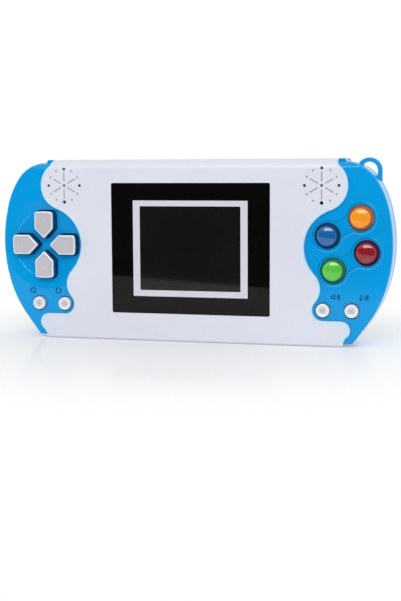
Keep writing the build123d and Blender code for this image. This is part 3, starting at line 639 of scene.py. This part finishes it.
# The action buttons are clear tinted domes on a wider collar, each in its own colour, with
# a polished top. Their collars stand deep in the holes and carry a much darker colour, a
# painted shade. A flange behind the deck keeps each of them in.
cap_radius, cap_edge, crown_radius = 3.8 * MM, 0.9 * MM, 8.472 * MM
collar_radius, collar_edge, button_flange_radius = 4.65 * MM, 0.12 * MM, 5.85 * MM
cap_depth, collar_depth, button_depth = 3.65 * MM, 5.05 * MM, 5.85 * MM
profile_steps, turn_steps = 12, 96
# Each button: its colour name, its tint, and a darker painted shade for its collar and flange.
button_colours = {
    "left": ("blue", (0.010, 0.125, 0.40), (0.012, 0.065, 0.17)),
    "top": ("orange", (0.96, 0.33, 0.012), (0.62, 0.17, 0.045)),
    "bottom": ("green", (0.11, 0.58, 0.06), (0.04, 0.22, 0.09)),
    "right": ("red", (0.29, 0.012, 0.02), (0.11, 0.014, 0.05)),
}
button_gloss = {"IOR": 1.12, "Coat Weight": 1.0, "Coat IOR": 1.6, "Coat Roughness": 0.09}


def button_profile():
    """Half of an action button's section, as radius and depth from its top, front to back."""
    edge_x = cap_radius - cap_edge
    edge_depth = crown_radius - math.sqrt((crown_radius - cap_edge) ** 2 - edge_x**2)
    lean = math.asin(edge_x / (crown_radius - cap_edge))
    section = []
    for step in range(1, profile_steps + 1):
        turn = lean * step / profile_steps
        section.append((crown_radius * math.sin(turn), crown_radius * (1 - math.cos(turn))))
    for step in range(1, profile_steps + 1):
        turn = lean + (math.pi / 2 - lean) * step / profile_steps
        section.append((edge_x + cap_edge * math.sin(turn), edge_depth - cap_edge * math.cos(turn)))
    section.append((cap_radius, cap_depth))
    section.append((collar_radius - collar_edge, cap_depth))
    section.append((collar_radius, cap_depth + collar_edge))
    section.append((collar_radius, collar_depth))
    section.append((button_flange_radius, collar_depth))
    section.append((button_flange_radius, button_depth))
    return section


def turned_piece(name, x, z, top_y, section, material):
    """A round piece along Y from its section, with a point at its top and a flat back."""
    points = [(x, top_y, z)]
    for radius, depth in section:
        for step in range(turn_steps):
            angle = 2 * math.pi * step / turn_steps
            points.append(
                (x + radius * math.cos(angle), top_y + depth, z + radius * math.sin(angle))
            )
    faces = [(0, 1 + step, 1 + (step + 1) % turn_steps) for step in range(turn_steps)]
    for k in range(len(section) - 1):
        for step in range(turn_steps):
            beside = (step + 1) % turn_steps
            low, high = 1 + k * turn_steps, 1 + (k + 1) * turn_steps
            faces.append((low + step, high + step, high + beside, low + beside))
    faces.append(tuple(reversed(range(len(points) - turn_steps, len(points)))))
    piece = mesh_piece(name, points, faces, material)
    for face in piece.data.polygons:
        depths = {round((points[corner][1] - top_y) / MM, 4) for corner in face.vertices}
        face.use_smooth = len(depths) > 1
    return piece


for way, (colour_name, colour, collar_painted_shade) in button_colours.items():
    top_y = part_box(f"action_button_{way}")[0][1]
    button_tint = plastic(
        f"button_{colour_name}", (1, 1, 1), (0.9, 0.9, 0.9), 0.25, 0.8 * MM, 0.001 * MM
    )
    # Behind the cap the collar and flange take the darker colour, a painted shade.
    by_depth(button_tint, top_y, [(0, colour), (0.9, colour), (1.7, collar_painted_shade), (6, collar_painted_shade)])
    for socket, value in button_gloss.items():
        set_shader(button_tint, socket, value)
    dress(button_tint, f"action_button_{way}")
    round_button = turned_piece(
        f"round_button_{colour_name}", *middle_of([f"action_button_{way}"]),
        top_y, button_profile(), button_tint,
    )
    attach(round_button, f"action_button_{way}")
    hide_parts(f"action_button_{way}")

# The four small buttons are plain white ABS, hollowed for the fingertip. The hollow turns a
# darker grey towards its middle, a painted shade.
small_top_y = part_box("power_button")[0][1]
# The hollow's darker grey is a painted shade.
small_bright, small_painted_shade = (0.82, 0.85, 0.88), (0.50, 0.50, 0.54)
button_white = plastic("button_white", (1, 1, 1), (0.94, 0.94, 0.945), 0.16, 0.4 * MM, 0.004 * MM)
by_depth(
    button_white,
    small_top_y,
    [
        (0, small_bright),
        (0.08, small_bright),
        (0.46, small_painted_shade),
        (0.6, small_bright),
        (3, small_bright),
    ],
)
dress(button_white, "power_button", "reset_button", "sound_button", "start_button")

# Six self-tapping screws of zinc-plated steel hold the shells together. They go in from
# behind, and their domed heads with a cross recess lie deep in the bosses of the rear shell.
# Four more of the same steel hold the board.
screw_head_radius, screw_shank_radius = 2.1 * MM, 1.1 * MM
screw_head_height, screw_dome_height = 1.5 * MM, 0.55 * MM
screw_tip_share = 0.4
recess_arm, recess_half_width = 1.15 * MM, 0.32 * MM
recess_depth, recess_taper = 0.8 * MM, 0.55
screw_rings, screw_corners = 5, 48
first_turn, turn_between = 0.4, 0.9
end_within = 0.01 * MM
zinc_steel = plastic(
    "zinc_steel", (0.52, 0.53, 0.55), (0.42, 0.43, 0.46), 0.3, 0.15 * MM, 0.006 * MM
)
set_shader(zinc_steel, "Metallic", 1)


def round_ends(node, spread):
    """The round ends at the front of a node, as middles of x and z with their radius."""
    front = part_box(node)[0][1]
    ends = [c.co for c in nodes[node].data.vertices if c.co.y < front + end_within]
    groups = []
    for end in ends:
        near = [g for g in groups if math.dist((end.x, end.z), g[0]) < spread]
        if near:
            near[0].append((end.x, end.z))
        else:
            groups.append([(end.x, end.z)])
    rounds = []
    for group in groups:
        xs, zs = [x for x, z in group], [z for x, z in group]
        middle = (min(xs) + max(xs)) / 2, (min(zs) + max(zs)) / 2
        rounds.append((middle, (max(xs) - min(xs)) / 2))
    return sorted(rounds)


def cross_reach(angle):
    """How far the cross recess reaches from the screw's axis at an angle."""
    turn = (angle + math.pi / 4) % (math.pi / 2) - math.pi / 4
    along_arm = recess_arm / math.cos(turn)
    beside_arm = recess_half_width / max(abs(math.sin(turn)), 1e-6)
    return min(along_arm, beside_arm)


def screw_mesh(name, x, z, front_y, head_top_y, turn):
    """A screw along Y, its domed head to the back, with the recess turned by an angle."""
    corner = math.atan2(recess_half_width, recess_arm)
    angles = {2 * math.pi * k / screw_corners for k in range(screw_corners)}
    for quarter in range(4):
        angles |= {(quarter * math.pi / 2 + way * corner) % (2 * math.pi) for way in (-1, 1)}
    angles = sorted(angles)
    head_y = head_top_y - screw_head_height

    def dome(radius):
        return head_top_y - screw_dome_height * (radius / screw_head_radius) ** 2

    rings = [[(cross_reach(a) * recess_taper, head_top_y - recess_depth) for a in angles]]
    for step in range(screw_rings + 1):
        share = step / screw_rings
        reach = [cross_reach(a) * (1 - share) + screw_head_radius * share for a in angles]
        rings.append([(r, dome(r)) for r in reach])
    rings.append([(screw_head_radius, head_y)] * len(angles))
    rings.append([(screw_shank_radius, head_y)] * len(angles))
    rings.append([(screw_shank_radius, front_y + screw_shank_radius)] * len(angles))
    rings.append([(screw_shank_radius * screw_tip_share, front_y)] * len(angles))
    points = []
    for ring in rings:
        for (radius, y), angle in zip(ring, angles):
            points.append(
                (x + radius * math.cos(angle + turn), y, z + radius * math.sin(angle + turn))
            )
    count = len(angles)
    faces = [tuple(range(count)), tuple(reversed(range(len(points) - count, len(points))))]
    for k in range(len(rings) - 1):
        for step in range(count):
            beside = (step + 1) % count
            low, high = k * count, (k + 1) * count
            faces.append((low + beside, low + step, high + step, high + beside))
    return mesh_piece(name, points, faces, zinc_steel)


screws_low, screws_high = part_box("case_screws")
screw_places = [middle for middle, radius in round_ends("case_screws", 2 * screw_head_radius)]
for number, (x, z) in enumerate(screw_places):
    case_screw = screw_mesh(
        f"case_screw_{number + 1}", x, z,
        screws_low[1], screws_high[1], first_turn + turn_between * number,
    )
    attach(case_screw, "case")
    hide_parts("case_screws")
dress(zinc_steel, "case_screws", "board_screws")

# Under each thumb lies a mat of grey silicone rubber on the board, with a dome for every
# key. A foam gasket keeps dust off the display.
dome_top_share = 0.75
dome_edge = 0.15 * MM
dome_root = 0.02 * MM
dome_spread = 5 * MM
sheet_thickness = 0.75 * MM
mat_keys = {
    "left": [*(f"direction_key_{way}" for way in key_ways), "power_button", "reset_button"],
    "right": [
        *(f"action_button_{way}" for way in button_colours), "sound_button", "start_button",
    ],
}
mat_grey = plastic(
    "mat_grey", (0.075, 0.08, 0.09), (0.06, 0.065, 0.075), 0.62, 0.3 * MM, 0.012 * MM
)
dress(mat_grey, "left_key_mat", "right_key_mat")


def mat_sheet(mat, front_y):
    """The flat sheet of a key mat: the mat's mesh with its domes cut off and closed."""
    shape = bmesh.new()
    shape.from_mesh(nodes[mat].data)
    bmesh.ops.remove_doubles(shape, verts=shape.verts, dist=weld_distance)
    domes = [corner for corner in shape.verts if corner.co.y < front_y - end_within]
    bmesh.ops.delete(shape, geom=domes, context="VERTS")
    open_edges = [edge for edge in shape.edges if edge.is_boundary]
    bmesh.ops.holes_fill(shape, edges=open_edges, sides=0)
    mesh = bpy.data.meshes.new(f"{mat}_sheet")
    shape.to_mesh(mesh)
    shape.free()
    mesh.materials.clear()
    mesh.materials.append(mat_grey)
    sheet = bpy.data.objects.new(f"{mat}_sheet", mesh)
    bpy.context.collection.objects.link(sheet)
    return sheet


for side_name, keys in mat_keys.items():
    mat = f"{side_name}_key_mat"
    mat_low, mat_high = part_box(mat)
    height = mat_high[1] - mat_low[1]
    soft = [mat_sheet(mat, mat_high[1] - sheet_thickness)]
    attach(soft[0], "case")
    for (x, z), top_radius in round_ends(mat, dome_spread):
        key = min(keys, key=lambda name: math.dist((x, z), middle_of([name])))
        root_radius = top_radius / dome_top_share
        dome = turned_piece(
            f"{key}_dome", x, z, mat_low[1],
            [
                (top_radius - dome_edge, 0),
                (top_radius, dome_edge),
                (root_radius, height - sheet_thickness),
                (root_radius, height - dome_root),
            ],
            mat_grey,
        )
        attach(dome, "case")
        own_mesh(dome)
        soft.append(dome)
    for piece in soft:
        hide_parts(mat)
foam_black = plastic(
    "foam_black", (0.006, 0.006, 0.0065), (0.003, 0.003, 0.003), 0.9, 0.2 * MM, 0.05 * MM
)
dress(foam_black, "lcd_gasket")

# The display is a glass sandwich on a white moulded backlight, held between the deck and
# the board. Its amber film cable leads from its lower edge down over the board.
panel_grey = plastic(
    "panel_grey", (0.018, 0.02, 0.02), (0.014, 0.016, 0.016), 0.06, 0.5 * MM, 0.001 * MM
)
dress(panel_grey, "lcd_glass")
frame_white = plastic(
    "frame_white", (0.7, 0.7, 0.68), (0.66, 0.66, 0.64), 0.45, 0.4 * MM, 0.01 * MM
)
dress(frame_white, "lcd_backlight")
film_amber = plastic(
    "film_amber", (0.35, 0.13, 0.02), (0.28, 0.095, 0.015), 0.25, 0.3 * MM, 0.003 * MM
)
dress(film_amber, "lcd_ribbon")

# The board is glass-epoxy laminate under a green solder mask. The game chip under its drop
# of black resin and two sleeved capacitors are soldered to it.
board_green = plastic(
    "board_green", (0.01, 0.11, 0.035), (0.006, 0.07, 0.022), 0.33, 0.25 * MM, 0.015 * MM
)
dress(board_green, "main_board")
chip_resin = plastic(
    "chip_resin", (0.008, 0.008, 0.008), (0.006, 0.006, 0.006), 0.2, 0.6 * MM, 0.012 * MM
)
dress(chip_resin, "game_chip")
capacitor_sleeve = plastic(
    "capacitor_sleeve", (0.012, 0.02, 0.06), (0.01, 0.016, 0.05), 0.3, 0.4 * MM, 0.003 * MM
)
dress(capacitor_sleeve, "capacitors")

# Each loudspeaker is a pressed steel basket over its magnet, brushed and left bare. It sits
# in a low ring on the back of the front shell's deck, behind its grille.
speaker_steel = plastic(
    "speaker_steel", (0.42, 0.42, 0.43), (0.34, 0.34, 0.35), 0.34, 0.12 * MM, 0.01 * MM
)
set_shader(speaker_steel, "Metallic", 1)
dress(speaker_steel, "left_speaker", "right_speaker")

# The three cells lie in turn about, each a steel can in a plain dark sleeve that leaves its
# ends bare. Flat and sprung contacts of nickel-plated spring steel press on them.
nickel_steel = plastic(
    "nickel_steel", (0.66, 0.63, 0.57), (0.56, 0.53, 0.48), 0.22, 0.2 * MM, 0.004 * MM
)
set_shader(nickel_steel, "Metallic", 1)
dress(nickel_steel, "battery_plates", "battery_springs")
sleeve_end_x = 22.4 * MM
end_facing = 0.8
can_steel = (0.55, 0.55, 0.56)


def calculate(tree, operation, *values):
    """The result of a math node on some values, each a number or another node's output."""
    node = tree.nodes.new("ShaderNodeMath")
    node.operation = operation
    for socket, value in zip(node.inputs, values):
        if isinstance(value, float):
            socket.default_value = value
        else:
            tree.links.new(value, socket)
    return node.outputs[0]


cell_sleeve = plastic(
    "cell_sleeve", (0.036, 0.04, 0.046), (0.028, 0.031, 0.036), 0.26, 0.5 * MM, 0.004 * MM
)
tree = cell_sleeve.node_tree
place = tree.nodes.new("ShaderNodeTexCoord")
beyond = []
for output, limit in (("Object", sleeve_end_x), ("Normal", end_facing)):
    split = tree.nodes.new("ShaderNodeSeparateXYZ")
    tree.links.new(place.outputs[output], split.inputs["Vector"])
    size = calculate(tree, "ABSOLUTE", split.outputs["X"])
    beyond.append(calculate(tree, "GREATER_THAN", size, limit))
bareness = calculate(tree, "MAXIMUM", *beyond)
bare = tree.nodes.new("ShaderNodeMixRGB")
bare.inputs["Color2"].default_value = (*can_steel, 1)
tree.links.new(bareness, bare.inputs["Fac"])
tree.links.new(tree.nodes["tone"].outputs["Color"], bare.inputs["Color1"])
shader = tree.nodes["Principled BSDF"]
tree.links.new(bare.outputs["Color"], shader.inputs["Base Color"])
tree.links.new(bareness, shader.inputs["Metallic"])
dress(cell_sleeve, "battery_cells")

# The console stands on a white glossy table in a white room. Softboxes light it from above
# in front, from the left, from the right and low from behind. A dark card in front, seen in
# mirrors only, keeps the lens and the wings' faces deep in colour.
scene = bpy.context.scene
scene.view_settings.view_transform = "Standard"

camera_data = bpy.data.cameras.new("camera")
camera_data.sensor_width = 36
camera_data.lens = 71.305
camera = bpy.data.objects.new("camera", camera_data)
camera.location = (0.12630, -0.45197, 0.06883)
camera.rotation_euler = [math.radians(angle) for angle in (83.494, 0.297, 15.389)]
bpy.context.collection.objects.link(camera)
scene.camera = camera


def looked_at(tree):
    """One for what is seen straight, in a mirror or through something clear, else zero."""
    rays = tree.nodes.new("ShaderNodeLightPath").outputs
    mirrored = calculate(tree, "MAXIMUM", rays["Is Camera Ray"], rays["Is Glossy Ray"])
    return calculate(tree, "MAXIMUM", mirrored, rays["Is Transmission Ray"])


room_level = 0.58
world = bpy.data.worlds.new("room")
world.use_nodes = True
scene.world = world
tree = world.node_tree
background = tree.nodes["Background"]
background.inputs["Color"].default_value = (1, 1, 1, 1)
level = ranged(tree, looked_at(tree), target=(room_level, 1))
tree.links.new(level, background.inputs["Strength"])

lamp_target = Vector((0.03, 0, 0.035))


def softbox(name, place, width, height, power):
    """A rectangular soft light that faces the console."""
    data = bpy.data.lights.new(name, "AREA")
    data.shape = "RECTANGLE"
    data.size = width
    data.size_y = height
    data.energy = power
    lamp = bpy.data.objects.new(name, data)
    lamp.location = place
    lamp.rotation_euler = (lamp_target - Vector(place)).to_track_quat("-Z", "Y").to_euler()
    lamp.visible_camera = False
    bpy.context.collection.objects.link(lamp)
    return lamp


softbox("front_top", (0.08, -0.52, 0.38), 0.5, 0.16, 1.6)
softbox("left_side", (-0.75, -0.3, 0.25), 0.15, 0.5, 0.8)
unmirrored = [
    softbox("right_side", (0.8, 0.12, 0.24), 0.15, 0.5, 2.0),
    softbox("back_low", (0, 0.75, 0.26), 0.5, 0.15, 1.6),
]
for lamp in unmirrored:
    lamp.visible_glossy = False

# The table's lacquer mirrors the console near its foot. Further out the table glows white
# and runs into the room without a border.
table_colour = (0.93, 0.935, 0.945, 1)
mirror_roughness = 0.12
mirror_reach, mirror_shares = (0.02, 0.19), (0.2, 0)
glow_reach, glow_shares = (0.05, 0.16), (0.2, 1)


def mixed(tree, share, first, second):
    """Two shaders mixed, with a share of the second."""
    node = tree.nodes.new("ShaderNodeMixShader")
    for socket, value in zip(node.inputs, (share, first, second)):
        tree.links.new(value, socket)
    return node.outputs["Shader"]


table_white = bpy.data.materials.new("table_white")
table_white.use_nodes = True
tree = table_white.node_tree
tree.nodes.remove(tree.nodes["Principled BSDF"])
place = tree.nodes.new("ShaderNodeTexCoord")
distance = tree.nodes.new("ShaderNodeVectorMath")
distance.operation = "LENGTH"
tree.links.new(place.outputs["Object"], distance.inputs[0])
matt = tree.nodes.new("ShaderNodeBsdfDiffuse")
matt.inputs["Color"].default_value = table_colour
mirror = tree.nodes.new("ShaderNodeBsdfGlossy")
mirror.inputs["Roughness"].default_value = mirror_roughness
shine = ranged(tree, distance.outputs["Value"], mirror_reach, mirror_shares)
polished = mixed(tree, shine, matt.outputs["BSDF"], mirror.outputs["BSDF"])
glow = tree.nodes.new("ShaderNodeEmission")
far = ranged(tree, distance.outputs["Value"], glow_reach, glow_shares)
far.node.interpolation_type = "SMOOTHSTEP"
far_seen = calculate(tree, "MULTIPLY", far, looked_at(tree))
table_shader = mixed(tree, far_seen, polished, glow.outputs["Emission"])
tree.links.new(table_shader, tree.nodes["Material Output"].inputs["Surface"])

# The table's front edge passes close in front of the console, so the lens shows it as the
# border of its lighter lower band.
table_reach = 1.2
table_edge = (Vector((-0.125, -0.271, 0)), Vector((-0.012, -0.2155, 0)))
along = (table_edge[1] - table_edge[0]).normalized()
across = Vector((-along.y, along.x, 0))
table_corners = [
    table_edge[0] - along * table_reach,
    table_edge[0] + along * table_reach,
    table_edge[0] + along * table_reach + across * 2 * table_reach,
    table_edge[0] - along * table_reach + across * 2 * table_reach,
]
table = mesh_piece(
    "table", [tuple(corner) for corner in table_corners], [(0, 1, 2, 3)], table_white
)

card_black = bpy.data.materials.new("card_black")
card_black.use_nodes = True
set_shader(card_black, "Base Color", (0, 0, 0, 1))
set_shader(card_black, "Specular IOR Level", 0)
card_left, card_right = -1.7, 1.3
card_low, card_high = -0.6, 0.42
card_y = -0.75
dark_card = mesh_piece(
    "dark_card",
    [
        (card_left, card_y, card_low),
        (card_right, card_y, card_low),
        (card_right, card_y, card_high),
        (card_left, card_y, card_high),
    ],
    [(0, 3, 2, 1)],
    card_black,
)
dark_card.visible_camera = False
dark_card.visible_diffuse = False
dark_card.visible_shadow = False
